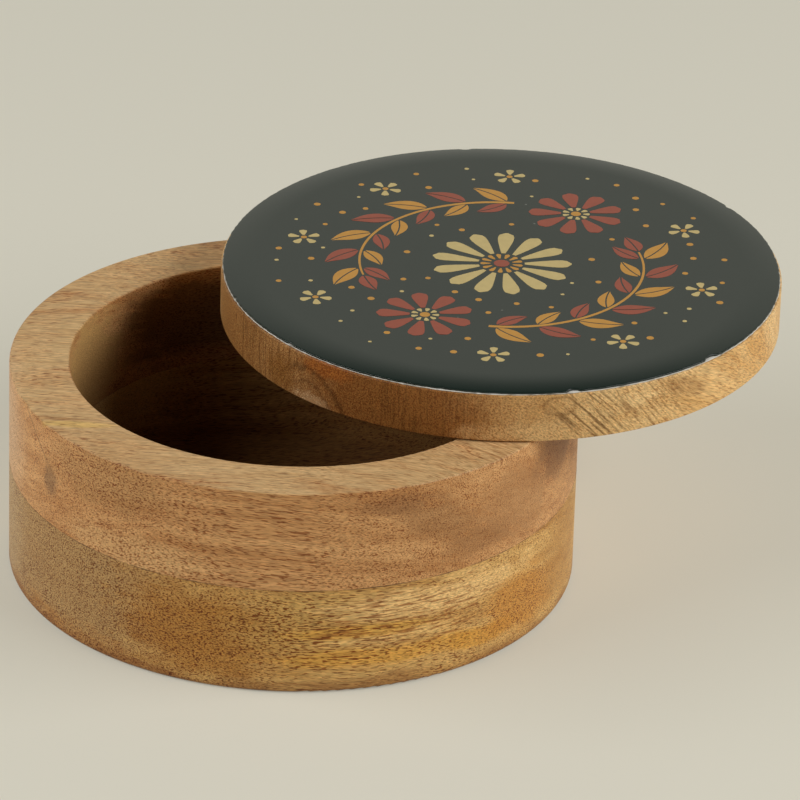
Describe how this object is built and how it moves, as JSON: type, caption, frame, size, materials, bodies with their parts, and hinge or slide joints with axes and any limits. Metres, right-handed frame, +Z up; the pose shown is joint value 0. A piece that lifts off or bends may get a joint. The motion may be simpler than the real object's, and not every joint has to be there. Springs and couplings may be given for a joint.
{
  "type": "round swivel-lid box",
  "caption": "Round wooden keepsake box turned from two glued boards, with a flat enamelled lid that swivels sideways on a screw in the rim.",
  "frame": {"origin": "middle of the flat foot, on the turned box's axis", "axes": "+Z up along the turned box's axis; +Y towards the lid's pivot in the rear of the rim; the lid stands swung open towards +X and is closed at a joint value of -55.17 degrees"},
  "size_m": [0.1733, 0.151, 0.0617],
  "materials": {
    "mango_lower": "clear-lacquered mango wood, figured, with olive and golden streaks",
    "mango_upper": "clear-lacquered mango wood, even pinkish tan",
    "mango_lid": "clear-lacquered mango wood, golden brown with dark lines",
    "white_ground": "white ground coat under the enamel",
    "charcoal_enamel": "satin charcoal poured enamel with a printed design in ochre, cream and brick red",
    "zinc_steel": "zinc-plated steel"
  },
  "bodies": {
    "box": {"lower_bowl": "mango_lower", "upper_ring": "mango_upper", "pivot_screw": "zinc_steel", "pivot_washer": "zinc_steel"},
    "lid": {"lid_board": "mango_lid", "screw_plug": "mango_lid", "enamel_ground": "white_ground", "enamel_face": "charcoal_enamel"}
  },
  "joints": [
    {"name": "lid_swing", "type": "hinge", "parent": "box", "child": "lid", "pos_m": [0, 0.05685, 0.0489], "axis": [0, 0, 1], "continuous": true}
  ]
}
